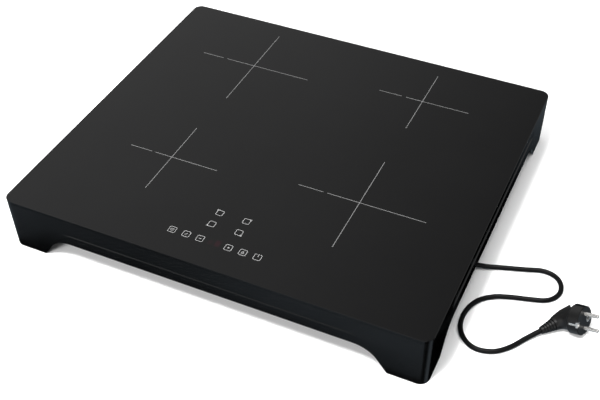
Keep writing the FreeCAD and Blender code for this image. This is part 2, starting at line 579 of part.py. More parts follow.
# -------------------------------------------------- power electronics
PCB_Z0, PCB_Z1 = 35.0, 36.6
BOARDS = {"left": (-252.0, -10.0, -42.0, 108.0), "right": (42.0, -10.0, 252.0, 108.0)}
for side, (x0, y0, x1, y1) in BOARDS.items():
    sgn = -1 if side == "left" else 1
    car = rprism(x0 - 3, y0 - 3, x1 + 3, y1 + 3, 4, PAN_Z0 + PAN_T, PAN_Z0 + PAN_T + 1.6)
    car = car.cut(rprism(x0 + 9, y0 + 9, x1 - 9, y1 - 9, 4, PAN_Z0, PCB_Z0))
    posts = [cyl(x, y, PAN_Z0 + PAN_T, PCB_Z0, 3.4) for x in (x0 + 5, (x0 + x1) / 2, x1 - 5) for y in (y0 + 5, y1 - 5)]
    car = car.multiFuse(posts).removeSplitter()
    car = car.cut(group([cyl(x, y, PCB_Z0 - 5, PCB_Z0 + 1, 1.2) for x in (x0 + 5, (x0 + x1) / 2, x1 - 5) for y in (y0 + 5, y1 - 5)]))
    check("board_carrier_" + side, car, 1)
    pcb = rprism(x0, y0, x1, y1, 3, PCB_Z0, PCB_Z1)
    pcb = pcb.cut(group([cyl(x, y, PCB_Z0 - 1, PCB_Z1 + 1, 1.4) for x in (x0 + 5, (x0 + x1) / 2, x1 - 5) for y in (y0 + 5, y1 - 5)]))
    check("power_board_" + side, pcb, 1)
    fx = FANS[side][0]
    hx = (fx - 36, fx + 36)
    hs = box(hx[0], 6, 41.6, hx[1], 102, 44.6)
    fins = [box(hx[0] + i * 6.0, 6, 44.6, hx[0] + i * 6.0 + 1.4, 102, 53.5) for i in range(12)]
    fins.append(box(hx[1] - 1.4, 6, 44.6, hx[1], 102, 53.5))
    check("heatsink_" + side, fuse([hs] + fins), 1)
    q = []
    for i in range(4):
        y = 14 + i * 22.0
        q.append(box(fx - 30, y, PCB_Z1, fx - 9, y + 16, 41.6))
        q.append(box(fx + 9, y, PCB_Z1, fx + 30, y + 16, 41.6))
    check("power_transistors_" + side, group(q), 8)
    caps = []
    cx0 = -150.0 if side == "left" else 62.0
    for i in range(3):
        for j in range(2):
            b = rprism(cx0 + i * 30, 4 + j * 44, cx0 + i * 30 + 20, 4 + j * 44 + 34, 2, PCB_Z1, 52.0)
            b = b.makeChamfer(1.0, [e for e in b.Edges if abs(e.BoundBox.ZMin - 52.0) < 1e-6])
            caps.append(b)
    check("capacitors_" + side, group(caps), 6)

# EMI filter in the middle
fb = rprism(-34, -58, 34, 98, 3, PCB_Z0, PCB_Z1)
FB_H = [(-29, -53), (29, -53), (-29, 93), (29, 93)]
fb = fb.cut(group([cyl(x, y, PCB_Z0 - 1, PCB_Z1 + 1, 1.6) for x, y in FB_H]))
check("filter_board", fb, 1)
check("standoffs", group(pillars + [tube(x, y, PAN_Z0 + PAN_T, PCB_Z0, 3.2, 1.6) for x, y in FB_H]), 16)
choke = []
for cy in (-20.0, 24.0):
    core = tube(0, cy, PCB_Z1 + 1.4, 50.0, 17.0, 8.0)
    core = core.makeFillet(1.6, [e for e in core.Edges if len(e.Vertexes) == 1 and e.BoundBox.XLength > 20])
    base = rprism(-18, cy - 18, 18, cy + 18, 3, PCB_Z1, PCB_Z1 + 1.4)
    wires = []
    for i in range(-4, 5):
        for s in (0, 180):
            b = box(6.6, -1.0, PCB_Z1 + 1.4, 18.4, 1.0, 51.2).cut(box(7.9, -1.1, PCB_Z1 + 1.4, 17.1, 1.1, 50.0))
            b.rotate(V(0, 0, 0), V(0, 0, 1), s + i * 14.0)
            b.translate(V(0, cy, 0))
            wires.append(b)
    choke.append(fuse([core, base] + wires))
check("filter_chokes", group(choke), 2)
check("filter_capacitors", group([rprism(-28, 50, -6, 84, 2, PCB_Z1, 51.0), rprism(4, 50, 26, 84, 2, PCB_Z1, 51.0)]), 2)

# terminal block above the cable hole
tb = box(140, -120, PAN_Z0 + PAN_T, 192, -96, 44)
tb = tb.cut(group([box(143 + i * 16.4, -112, 38, 156 + i * 16.4, -92, 45) for i in range(3)]))
tb = tb.cut(group([cyl(149.5 + i * 16.4, -104, 31, 38, 2.6) for i in range(3)]))
check("terminal_block", tb, 1)
inner_screws += [screw(149.5 + i * 16.4, -104, 38, False, 6.0, 2.4, 3.6, 2.2) for i in range(3)]
check("inner_screws", group(inner_screws), 27)

# ------------------------------------------------------- touch controls
ctl = rprism(-92, -234, 84, -155, 4, TRAY_Z1 + 3.0, TRAY_Z1 + 5.0)
ctl = ctl.fuse(rprism(-92, -234, 84, -155, 4, TRAY_Z1 + 5.0, 67.4).cut(rprism(-90, -232, 82, -157, 3, TRAY_Z1 + 5.0, 67.4)))
ctl = ctl.fuse(group([cyl(x, y, TRAY_Z1, 66.0, 3.2) for x, y in ((-84, -226), (76, -226), (-84, -163), (76, -163), (-20, -226), (12, -163))]))
ctl = ctl.removeSplitter()
check("control_carrier", ctl, 1)
cb = rprism(-89.5, -231.5, 81.5, -157.5, 2.5, 66.0, 67.4)
check("control_board", cb, 1)
ts = []
for x, y in KEYS:
    ts.append(tube(x, y, 67.4, Z_DISC1, 4.2, 3.4))
check("touch_springs", group(ts), len(KEYS))
disp = rprism(-17.0, -223.5, 8.5, -211.0, 1, 67.4, 75.0)
disp = disp.cut(box(-15.4, -221.8, 74.2, 6.9, -212.7, 75.0))
check("display_module", disp, 1)

# ------------------------------------------------------------- blowers
FZ0, FZ1 = PAN_Z0 + PAN_T, 53.0
for side, (fx, fy) in FANS.items():
    body = rprism(fx - FAN_S, fy - FAN_S, fx + FAN_S, fy + FAN_S, 5, FZ0, FZ1)
    cav = cyl(fx, fy, FZ0 + 2, FZ1 - 2, 40.0)
    outlet = box(fx - 36, fy - FAN_S - 1, FZ0 + 4, fx + 36, fy - 18, FZ1 - 2)
    inlet = cyl(fx, fy, FZ0 - 1, FZ0 + 3, 27.0)
    body = body.cut(cav).cut(outlet).cut(inlet)
    body = body.fuse(cyl(fx, fy, FZ1 - 7, FZ1 - 1, 11.0)).removeSplitter()
    body = body.cut(cyl(fx, fy, FZ1 - 7.5, FZ1 - 2, 1.55))
    check("fan_housing_" + side, body, 1)
    zb = FZ1 - 9.5
    rotor = cyl(fx, fy, zb, zb + 1.6, 35.0)
    rotor = rotor.fuse(cyl(fx, fy, zb + 1.0, FZ1 - 2.6, 1.5))
    rotor = rotor.fuse(Part.makeCone(7.0, 13.0, 6.0, V(fx, fy, zb - 6.0), V(0, 0, 1)))
    rotor = rotor.fuse(tube(fx, fy, FZ0 + 4.0, FZ0 + 5.4, 35.0, 30.0))
    blades = []
    for i in range(22):
        b = box(26.5, -0.5, FZ0 + 4.6, 34.6, 0.5, zb + 0.5)
        b.rotate(V(30.5, 0, 0), V(0, 0, 1), 38)
        b.rotate(V(0, 0, 0), V(0, 0, 1), i * 360.0 / 22)
        b.translate(V(fx, fy, 0))
        blades.append(b)
    rotor = fuse([rotor] + blades)
    check("fan_rotor_" + side, rotor, 1)

# --------------------------------------------------------------- wiring


def wire_run(points, r):
    s, path, radii = sweep(points, r)
    return s


LEAD_END = {"rear_left": (-52.0, 100.0), "front_left": (-58.0, -4.0),
            "rear_right": (54.0, 101.0), "front_right": (48.0, -4.0)}
leads = []
for name, (cx, cy, ro) in ZONES.items():
    s = -1 if cx > 0 else 1
    tx = cx + s * (ro + 9)
    qx, qy = LEAD_END[name]
    back = 1 if cy > qy else -1
    for o in (-3.0, 3.0):
        px, qq = tx - o, qx - o
        leads.append(wire_run([(cx + s * (ro + 0.1), cy + o, 70.6), (cx + s * (ro + 5.0), cy + o, 70.4),
                               (px, cy + o, 64.0), (px, cy + o, 52.0), (px, cy + o - back * 7, 46.5),
                               (qq, qy + back * 12, 44.0), (qq, qy, 44.0), (qq, qy, PCB_Z1)], 1.3))
check("coil_leads", group(leads), 8)
mains = []
for i in range(3):
    y0 = -115.0 + 6 * i
    xt = -6.0 + 12 * i
    mains.append(wire_run([(140.0, y0, 34.0), (122.0, y0, 34.0), (xt + 20, y0, 36.0), (xt, y0 + 18, 39.0),
                           (xt, -64.0, 43.0), (xt, -46.0, 43.0), (xt, -46.0, PCB_Z1)], 1.4))
check("mains_leads", group(mains), 3)
cx0 = CABLE_HOLE[0]
cable_tail = wire_run([(hx0 + 56, ey, ez), (hx0 + 38, ey, ez), (cx0 + 4.0, ey, ez + 2.5), (cx0, ey - 4, ez + 14.0),
                       (cx0, ey - 16.0, ez + 17.0), (cx0, -96.0, ez + 17.0)], CORD_D / 2)
check("cable_tail", cable_tail, 1)

for name, shape in NODES.items():
    shape.exportStep("parts/%s.step" % name)
print(len(NODES), "nodes")
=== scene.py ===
import bpy, bmesh, json, math
from mathutils import Matrix, Vector


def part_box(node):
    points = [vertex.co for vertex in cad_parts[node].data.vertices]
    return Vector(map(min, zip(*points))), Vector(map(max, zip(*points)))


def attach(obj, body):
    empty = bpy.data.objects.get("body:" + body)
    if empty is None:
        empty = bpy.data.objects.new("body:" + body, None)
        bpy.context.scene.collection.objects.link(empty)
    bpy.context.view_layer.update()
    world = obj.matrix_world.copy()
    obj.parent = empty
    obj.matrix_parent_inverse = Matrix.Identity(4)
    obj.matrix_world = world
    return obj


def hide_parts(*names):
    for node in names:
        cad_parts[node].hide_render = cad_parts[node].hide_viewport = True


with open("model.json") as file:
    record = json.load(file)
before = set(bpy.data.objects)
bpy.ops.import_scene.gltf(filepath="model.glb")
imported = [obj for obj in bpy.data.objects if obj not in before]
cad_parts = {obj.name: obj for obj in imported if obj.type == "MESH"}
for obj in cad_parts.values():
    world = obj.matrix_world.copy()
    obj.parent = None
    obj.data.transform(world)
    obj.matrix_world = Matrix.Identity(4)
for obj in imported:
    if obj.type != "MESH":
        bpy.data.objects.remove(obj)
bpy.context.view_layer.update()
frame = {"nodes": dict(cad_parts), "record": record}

NODES = frame["nodes"]
SCENE = bpy.context.scene
COLL = SCENE.collection

# ------------------------------------------------------------------ camera
cam_data = bpy.data.cameras.new("camera")
cam_data.sensor_fit = "HORIZONTAL"
cam_data.sensor_width = 36.0
cam_data.lens = 57.837
cam_data.shift_x = -0.02905
cam_data.shift_y = 0.08912
cam_data.clip_start = 0.05
cam_data.clip_end = 50.0
camera = bpy.data.objects.new("camera", cam_data)
COLL.objects.link(camera)
right = Vector((0.912003, 0.410184, 0.000793))
up = Vector((-0.293087, 0.650294, 0.700869))
back = -Vector((-0.286969, 0.639427, -0.713289))
camera.matrix_world = Matrix(((right.x, up.x, back.x, 0.458156),
                              (right.y, up.y, back.y, -0.937789),
                              (right.z, up.z, back.z, 0.922806),
                              (0, 0, 0, 1)))
SCENE.camera = camera

# -------------------------------------------------------------------- cord
CORD_D = 0.0064
ROUTE = [(0.2380, -0.0600, 0.0190), (0.2580, -0.0600, 0.0190), (0.2790, -0.0530, 0.0098),
         (0.2990, -0.0446, 0.0032), (0.3250, -0.0356, 0.0032), (0.3500, -0.0280, 0.0032),
         (0.3745, -0.0188, 0.0032), (0.3962, -0.0266, 0.0032), (0.4040, -0.0490, 0.0032),
         (0.3930, -0.0700, 0.0032), (0.3670, -0.0775, 0.0032), (0.3450, -0.0830, 0.0032),
         (0.3230, -0.0915, 0.0032), (0.3050, -0.1095, 0.0032), (0.2983, -0.1385, 0.0032),
         (0.3043, -0.1655, 0.0032), (0.3250, -0.1840, 0.0032), (0.3505, -0.1805, 0.0032),
         (0.3695, -0.1630, 0.0032), (0.3820, -0.1420, 0.0039), (0.3960, -0.1250, 0.0066)]
cord_curve = bpy.data.curves.new("mains_cord", "CURVE")
cord_curve.dimensions = "3D"
cord_curve.resolution_u = 24
cord_curve.bevel_depth = 1.0        # times each point's own radius, so that the bounds stay tight
cord_curve.bevel_resolution = 8
cord_curve.use_fill_caps = True
cord_curve.twist_mode = "MINIMUM"
spline = cord_curve.splines.new("NURBS")
spline.points.add(len(ROUTE) - 1)
for point, co in zip(spline.points, ROUTE):
    point.co = (*co, 1.0)
    point.radius = CORD_D / 2
spline.order_u = 3
spline.use_endpoint_u = True
cord = bpy.data.objects.new("mains_cord", cord_curve)
COLL.objects.link(cord)
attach(cord, "body")
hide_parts("power_cord")


# --------------------------------------------------------------- materials
class Graph:
    """A small helper around one material's node tree."""

    def __init__(self, name):
        self.m = bpy.data.materials.new(name)
        self.m.use_nodes = True
        self.t = self.m.node_tree
        self.t.nodes.clear()
        self.out = self.t.nodes.new("ShaderNodeOutputMaterial")
        self.b = self.t.nodes.new("ShaderNodeBsdfPrincipled")
        self.link(self.b.outputs["BSDF"], self.out.inputs["Surface"])
        self._pos = None
        self.height = None

    def link(self, a, b):
        self.t.links.new(a, b)

    def node(self, kind, **props):
        n = self.t.nodes.new("ShaderNode" + kind)
        for k, v in props.items():
            setattr(n, k, v)
        return n

    @property
    def pos(self):
        if self._pos is None:
            self._pos = self.node("TexCoord").outputs["Object"]
        return self._pos

    def set(self, **values):
        for k, v in values.items():
            self.b.inputs[k.replace("_", " ")].default_value = v
        return self

    def scaled(self, sx, sy, sz, rot=(0, 0, 0)):
        n = self.node("Mapping")
        n.inputs["Scale"].default_value = (sx, sy, sz)
        n.inputs["Rotation"].default_value = rot
        self.link(self.pos, n.inputs["Vector"])
        return n.outputs["Vector"]

    def noise(self, scale, detail=3.0, rough=0.55, vector=None, distortion=0.0):
        n = self.node("TexNoise")
        n.inputs["Scale"].default_value = scale
        n.inputs["Detail"].default_value = detail
        n.inputs["Roughness"].default_value = rough
        n.inputs["Distortion"].default_value = distortion
        self.link(vector if vector is not None else self.pos, n.inputs["Vector"])
        return n.outputs["Fac"]

    def voronoi(self, scale, feature="F1", out="Distance", vector=None, randomness=1.0):
        n = self.node("TexVoronoi", feature=feature)
        n.inputs["Scale"].default_value = scale
        n.inputs["Randomness"].default_value = randomness
        self.link(vector if vector is not None else self.pos, n.inputs["Vector"])
        return n.outputs[out]

    def wave(self, scale, kind="BANDS", direction="X", profile="SIN", distortion=0.0, vector=None):
        n = self.node("TexWave", wave_type=kind, wave_profile=profile)
        if kind == "BANDS":
            n.bands_direction = direction
        else:
            n.rings_direction = direction
        n.inputs["Scale"].default_value = scale
        n.inputs["Distortion"].default_value = distortion
        self.link(vector if vector is not None else self.pos, n.inputs["Vector"])
        return n.outputs["Fac"]

    def math(self, op, a, b=None, c=None, clamp=False):
        n = self.node("Math", operation=op, use_clamp=clamp)
        for i, v in enumerate((a, b, c)):
            if v is None:
                continue
            if isinstance(v, (int, float)):
                n.inputs[i].default_value = v
            else:
                self.link(v, n.inputs[i])
        return n.outputs[0]

    def remap(self, value, a, b, c, d, smooth=False):
        n = self.node("MapRange", interpolation_type="SMOOTHSTEP" if smooth else "LINEAR")
        self.link(value, n.inputs["Value"])
        for key, v in zip(("From Min", "From Max", "To Min", "To Max"), (a, b, c, d)):
            n.inputs[key].default_value = v
        return n.outputs["Result"]

    def ramp(self, value, stops, mode="LINEAR"):
        n = self.node("ValToRGB")
        n.color_ramp.interpolation = mode
        e = n.color_ramp.elements
        while len(e) < len(stops):
            e.new(0.5)
        for el, (p, c) in zip(e, stops):
            el.position = p
            el.color = (*c, 1.0) if len(c) == 3 else c
        self.link(value, n.inputs["Fac"])
        return n.outputs["Color"]

    def mix(self, fac, a, b, blend="MIX"):
        n = self.node("Mix", data_type="RGBA", blend_type=blend)
        if isinstance(fac, (int, float)):
            n.inputs["Factor"].default_value = fac
        else:
            self.link(fac, n.inputs["Factor"])
        for key, v in (("A", a), ("B", b)):
            sock = [s for s in n.inputs if s.name == key and s.type == "RGBA"][0]
            if isinstance(v, tuple):
                sock.default_value = (*v, 1.0) if len(v) == 3 else v
            else:
                self.link(v, sock)
        return [s for s in n.outputs if s.type == "RGBA"][0]

    def xyz(self, vector=None):
        n = self.node("SeparateXYZ")
        self.link(vector if vector is not None else self.pos, n.inputs[0])
        return n.outputs

    def color(self, socket):
        self.link(socket, self.b.inputs["Base Color"])
        return self

    def rough(self, socket):
        self.link(socket, self.b.inputs["Roughness"])
        return self

    def bump(self, height, distance, strength=1.0):
        n = self.node("Bump")
        n.inputs["Strength"].default_value = strength
        n.inputs["Distance"].default_value = distance
        self.link(height, n.inputs["Height"])
        if self.height is not None:
            self.link(self.height, n.inputs["Normal"])
        self.height = n.outputs["Normal"]
        self.link(self.height, self.b.inputs["Normal"])
        return self


def black_glass():
    g = Graph("black_glass")
    g.set(Metallic=0.0, IOR=1.5)
    cloud = g.noise(9.0, 4.0, 0.6)
    dots = g.voronoi(520.0)
    speck = g.remap(dots, 0.0, 0.035, 1.0, 0.0)
    col = g.ramp(cloud, [(0.3, (0.0010, 0.0010, 0.0011)), (0.7, (0.0016, 0.0016, 0.0017))])
    col = g.mix(g.math("MULTIPLY", speck, 0.04), col, (0.03, 0.03, 0.03))
    g.color(col)
    smear = g.noise(3.2, 6.0, 0.7, distortion=0.6)
    fine = g.noise(260.0, 2.0)
    r = g.remap(smear, 0.25, 0.8, 0.085, 0.14)
    r = g.math("ADD", r, g.math("MULTIPLY", fine, 0.02))
    g.rough(r)
    g.bump(g.noise(55.0, 1.0), 0.00002, 0.25)
    return g.m


def moulded(name, base, r0, r1, grain=1500.0, depth=0.00004, spec=0.5, tint=(1.0, 1.0, 1.0)):
    """Moulded plastic: spark-eroded grain, slight flow marks and a little variation of gloss."""
    g = Graph(name)
    g.set(IOR=1.5)
    g.b.inputs["Specular IOR Level"].default_value = spec
    big = g.noise(14.0, 5.0, 0.6)
    lo = tuple(base * 0.82 * t for t in tint)
    hi = tuple(base * 1.18 * t for t in tint)
    col = g.ramp(big, [(0.32, lo), (0.68, hi)])
    cells = g.voronoi(grain, feature="SMOOTH_F1")
    fine = g.noise(grain * 0.7, 3.0, 0.6)
    col = g.mix(g.remap(fine, 0.55, 0.8, 0.0, 0.35), col, tuple(base * 1.9 * t for t in tint))
    g.color(col)
    g.rough(g.math("ADD", g.remap(g.noise(30.0, 4.0), 0.3, 0.7, r0, r1), g.math("MULTIPLY", fine, 0.04)))
    g.bump(g.math("ADD", cells, g.math("MULTIPLY", fine, 0.6)), depth, 0.5)
    return g.m


def rubber(name, base, r0, r1, along=None, ior=1.48):
    g = Graph(name)
    g.set(IOR=ior)
    n1 = g.noise(60.0, 4.0)
    fine = g.noise(2600.0, 2.0)
    col = g.ramp(n1, [(0.3, (base * 0.8,) * 3), (0.7, (base * 1.25, base * 1.25, base * 1.3))])
    dust = g.remap(g.noise(700.0, 3.0, 0.7), 0.66, 0.8, 0.0, 0.25)
    g.color(g.mix(dust, col, (base * 4, base * 4, base * 4.1)))
    g.rough(g.math("ADD", g.remap(g.noise(110.0, 3.0), 0.3, 0.7, r0, r1), g.math("MULTIPLY", fine, 0.05)))
    g.bump(fine, 0.00003, 0.4)
    return g.m


def metal(name, base, r0, r1, stretch=(1, 1, 1), scale=400.0, depth=0.00001, metallic=1.0):
    g = Graph(name)
    g.set(Metallic=metallic)
    v = g.scaled(*stretch)
    brush = g.noise(scale, 3.0, 0.6, vector=v)
    tone = g.noise(25.0, 3.0)
    a = tuple(c * 0.86 for c in base)
    col = g.ramp(tone, [(0.3, a), (0.7, base)])
    col = g.mix(g.remap(brush, 0.35, 0.7, 0.0, 0.25), col, tuple(min(1.0, c * 1.15) for c in base))
    g.color(col)
    g.rough(g.remap(brush, 0.3, 0.7, r0, r1))
    g.bump(brush, depth, 0.5)
    return g.m


def zinc_sheet():
    g = Graph("zinc_sheet")
    g.set(Metallic=1.0)
    spangle = g.voronoi(95.0, out="Color")
    s = g.xyz(spangle)
    col = g.ramp(s[0], [(0.0, (0.40, 0.41, 0.42)), (0.5, (0.52, 0.53, 0.54)), (1.0, (0.66, 0.67, 0.68))])
    stain = g.noise(6.0, 5.0, 0.65)
    g.color(g.mix(g.remap(stain, 0.5, 0.8, 0.0, 0.4), col, (0.33, 0.33, 0.33)))
    g.rough(g.math("ADD", g.remap(s[1], 0.0, 1.0, 0.3, 0.48), g.math("MULTIPLY", g.noise(900.0), 0.06)))
    g.bump(g.voronoi(95.0), 0.00004, 0.25)
    g.bump(g.noise(40.0, 2.0), 0.0001, 0.2)
    return g.m


def copper_winding():
    g = Graph("litz_winding")
    g.set(Metallic=1.0)
    strand = g.wave(330.0, "BANDS", "DIAGONAL", distortion=2.0)
    col = g.ramp(g.noise(40.0, 3.0), [(0.3, (0.42, 0.16, 0.06)), (0.7, (0.78, 0.36, 0.17))])
    g.color(g.mix(g.math("MULTIPLY", strand, 0.5), col, (0.25, 0.09, 0.035)))
    g.rough(g.remap(strand, 0.0, 1.0, 0.28, 0.46))
    g.bump(strand, 0.0002, 0.6)
    return g.m


def grained(name, a, b, scale, r0, r1, depth=0.00005, metallic=0.0):
    """Mineral, ceramic and pressed materials: mottled colour, small pits."""
    g = Graph(name)
    g.set(Metallic=metallic)
    mott = g.noise(scale, 5.0, 0.65)
    pits = g.voronoi(scale * 5)
    col = g.ramp(mott, [(0.3, a), (0.7, b)])
    g.color(g.mix(g.remap(pits, 0.0, 0.12, 0.5, 0.0), col, tuple(c * 0.5 for c in a)))
    g.rough(g.remap(mott, 0.3, 0.7, r0, r1))
    g.bump(pits, depth, 0.4)
    return g.m


def circuit_board():
    g = Graph("circuit_board")
    g.set(IOR=1.5)
    xy = g.scaled(260, 260, 0)
    tr = g.node("TexBrick")
    tr.inputs["Scale"].default_value = 1.0
    tr.inputs["Mortar Size"].default_value = 0.08
    tr.inputs["Color1"].default_value = (0.008, 0.10, 0.03, 1)
    tr.inputs["Color2"].default_value = (0.010, 0.13, 0.04, 1)
    tr.inputs["Mortar"].default_value = (0.02, 0.20, 0.07, 1)
    g.link(xy, tr.inputs["Vector"])
    dots = g.voronoi(330.0, randomness=0.35)
    pad = g.remap(dots, 0.10, 0.14, 1.0, 0.0)
    col = g.mix(pad, tr.outputs["Color"], (0.55, 0.55, 0.52))
    weave = g.noise(2400.0, 1.0)
    g.color(g.mix(g.math("MULTIPLY", weave, 0.12), col, (0.0, 0.03, 0.01)))
    g.rough(g.remap(weave, 0.3, 0.7, 0.28, 0.42))
    g.bump(g.math("ADD", pad, tr.outputs["Fac"]), 0.00004, 0.5)
    return g.m


def sleeve():
    g = Graph("glass_fibre_sleeve")
    b = g.math("MULTIPLY", g.wave(900.0, direction="X", distortion=1.0), g.wave(900.0, direction="Y", distortion=1.0))
    g.color(g.ramp(b, [(0.0, (0.32, 0.30, 0.26)), (1.0, (0.74, 0.71, 0.63))]))
    g.rough(g.remap(b, 0.0, 1.0, 0.65, 0.85))
    g.bump(b, 0.00015, 0.6)
    return g.m


def printed(name, lo, hi):
    """Fired enamel print on the glass: slightly uneven, semi-matt."""
    g = Graph(name)
    n1 = g.noise(900.0, 3.0, 0.6)
    col = g.ramp(n1, [(0.25, (lo, lo, lo)), (0.75, (hi, hi, hi))])
    g.color(col)
    g.rough(g.remap(n1, 0.3, 0.7, 0.45, 0.6))
    g.bump(n1, 0.00001, 0.4)
    return g.m


def display_window():
    """Smoked window over the display, whose dim red glow is painted into the base colour, not emitted."""
    g = Graph("display_window")
    x, y, z = g.xyz()
    # mask of one digit's painted glow: soft-edged box around the digit's centre
    def digit_glow_mask(cx, cy, rx, ry, level):
        gx = g.remap(g.math("ABSOLUTE", g.math("SUBTRACT", x, cx)), rx * 0.2, rx, 1.0, 0.0, True)
        gy = g.remap(g.math("ABSOLUTE", g.math("SUBTRACT", y, cy)), ry * 0.3, ry, 1.0, 0.0, True)
        return g.math("MULTIPLY", g.math("MULTIPLY", gx, gy), level)
    m = g.math("ADD", digit_glow_mask(-0.0005, -0.2175, 0.0055, 0.0075, 1.0), digit_glow_mask(-0.0100, -0.2190, 0.0050, 0.0060, 0.35))
    mott = g.noise(500.0, 2.0)
    # painted glow: where the digit masks are, the base colour turns a dim red
    col = g.mix(g.math("MULTIPLY", m, g.remap(mott, 0.2, 0.8, 0.75, 1.0)), (0.0013, 0.0013, 0.0014), (0.0085, 0.0012, 0.0026))
    g.color(col)
    g.rough(g.remap(g.noise(3.2, 6.0, 0.7, distortion=0.6), 0.25, 0.8, 0.085, 0.14))
    g.bump(g.noise(55.0, 1.0), 0.00002, 0.25)
    return g.m


MAT = {
    "black_glass": black_glass(),
    "housing_plastic": moulded("housing_plastic", 0.0015, 0.125, 0.15, 1400.0, 0.000003, 0.5, (0.95, 1.0, 1.06)),
    "zinc_steel": zinc_sheet(),
    "screw_steel": metal("plated_screws", (0.60, 0.60, 0.61), 0.22, 0.38, (1, 1, 6), 500.0),
    "spring_steel": metal("spring_steel", (0.50, 0.50, 0.50), 0.22, 0.34, (8, 1, 1), 500.0),
    "foot_rubber": rubber("foot_rubber", 0.016, 0.62, 0.78),
    "silicone": rubber("silicone_bead", 0.012, 0.42, 0.55),
    "cover_plastic": moulded("cover_plastic", 0.010, 0.42, 0.55, 1100.0, 0.00004),
    "cable_rubber": rubber("cable_sheath", 0.0026, 0.15, 0.23, ior=1.33),
    "plug_rubber": moulded("plug_rubber", 0.0055, 0.25, 0.34, 1900.0, 0.00002, 0.5, (1.0, 1.0, 1.0)),
    "nickel": metal("nickel_plate", (0.76, 0.75, 0.73), 0.16, 0.26, (1, 6, 6), 220.0, metallic=0.84),
    "carrier_plastic": moulded("carrier_plastic", 0.045, 0.45, 0.6, 900.0, 0.00006),
    "mica": grained("mica_board", (0.50, 0.46, 0.38), (0.74, 0.70, 0.60), 160.0, 0.45, 0.7),
    "copper": copper_winding(),
    "ferrite": grained("ferrite", (0.030, 0.030, 0.032), (0.060, 0.060, 0.064), 420.0, 0.4, 0.6),
    "lead_sleeve": sleeve(),
    "sensor_ceramic": grained("sensor_ceramic", (0.62, 0.61, 0.56), (0.82, 0.81, 0.77), 300.0, 0.3, 0.5),
    "circuit_board": circuit_board(),
    "heatsink_aluminium": metal("extruded_aluminium", (0.78, 0.78, 0.79), 0.26, 0.42, (1, 0.05, 1), 900.0),
    "semiconductor": moulded("epoxy_package", 0.014, 0.5, 0.62, 1600.0, 0.00004),
    "capacitor_case": moulded("film_capacitor", 0.42, 0.28, 0.4, 700.0, 0.00005, 0.5, (1.0, 0.72, 0.10)),
    "choke_ferrite": grained("wound_toroid", (0.10, 0.045, 0.02), (0.36, 0.16, 0.07), 260.0, 0.3, 0.5, 0.0001, 0.6),
    "terminal_plastic": moulded("terminal_polyamide", 0.55, 0.4, 0.55, 900.0, 0.00005, 0.5, (1.0, 1.0, 0.95)),
    "display_plastic": moulded("display_block", 0.03, 0.2, 0.3, 900.0, 0.00002, 0.5, (1.0, 0.25, 0.25)),
    "fan_plastic": moulded("fan_plastic", 0.022, 0.42, 0.55, 1000.0, 0.00005),
}

cord_curve.materials.append(MAT["cable_rubber"])
SLOT_OF = {s["node"]: s["material_slot"] for s in frame["record"]["subparts"]}
for name, ob in NODES.items():
    key = SLOT_OF[name]
    if name in ("plug_body", "cord_gland"):
        key = "plug_rubber"
    ob.data.materials.clear()
    ob.data.materials.append(MAT[key])


# --------------------------------------------------- prints on the glass
GLASS_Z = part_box("glass_top")[1].z
PRINT_Z = GLASS_Z + 0.00003


def flat_mesh(name, material, polygons, z=PRINT_Z):
    """polygons: lists of (x, y) in millimetres, each one face of a flat print."""
    bm = bmesh.new()
    for poly in polygons:
        vs = [bm.verts.new((x / 1000.0, y / 1000.0, z)) for x, y in poly]
        f = bm.faces.new(vs)
        if f.normal.z < 0:
            f.normal_flip()
    bm.normal_update()
    for f in bm.faces:
        if f.normal.z < 0:
            f.normal_flip()
    me = bpy.data.meshes.new(name)
    bm.to_mesh(me)
    bm.free()
    me.materials.append(material)
    ob = bpy.data.objects.new(name, me)
    COLL.objects.link(ob)
    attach(ob, "body")
    return ob


def bar(x0, y0, x1, y1, w):
    dx, dy = x1 - x0, y1 - y0
    n = math.hypot(dx, dy)
    px, py = -dy / n * w / 2, dx / n * w / 2
    return [(x0 - px, y0 - py), (x1 - px, y1 - py), (x1 + px, y1 + py), (x0 + px, y0 + py)]


def outline(points, w, closed=True):
    """A stroked polyline with mitred joints, as quads."""
    n = len(points)
    inner, outer = [], []
    for i in range(n):
        p = points[i]
        a = points[i - 1] if (closed or i > 0) else None
        b = points[(i + 1) % n] if (closed or i < n - 1) else None
        dirs = []
        if a is not None:
            dirs.append((p[0] - a[0], p[1] - a[1]))
        if b is not None:
            dirs.append((b[0] - p[0], b[1] - p[1]))
        nx = ny = 0.0
        for dx, dy in dirs:
            m = math.hypot(dx, dy)
            nx += -dy / m
            ny += dx / m
        m = math.hypot(nx, ny)
        nx, ny = nx / m, ny / m
        if len(dirs) == 2:
            dx, dy = dirs[0]
            q = math.hypot(dx, dy)
            c = max(0.35, nx * (-dy / q) + ny * (dx / q))
        else:
            c = 1.0
        inner.append((p[0] - nx * w / 2 / c, p[1] - ny * w / 2 / c))
        outer.append((p[0] + nx * w / 2 / c, p[1] + ny * w / 2 / c))
    quads = []
    for i in range(n if closed else n - 1):
        j = (i + 1) % n
        quads.append([inner[i], inner[j], outer[j], outer[i]])
    return quads


def rounded(cx, cy, half, r, seg=5, gap=None):
    pts = []
    for qx, qy, a0 in ((1, -1, -90), (1, 1, 0), (-1, 1, 90), (-1, -1, 180)):
        for i in range(seg + 1):
            a = math.radians(a0 + 90.0 * i / seg)
            pts.append((cx + qx * (half - r) + r * math.cos(a), cy + qy * (half - r) + r * math.sin(a)))
    return pts


def circle(cx, cy, r, seg=20, a0=0.0, a1=360.0):
    n = seg if a1 - a0 >= 360 else seg + 1
    return [(cx + r * math.cos(math.radians(a0 + (a1 - a0) * i / seg)),
             cy + r * math.sin(math.radians(a0 + (a1 - a0) * i / seg))) for i in range(n)]


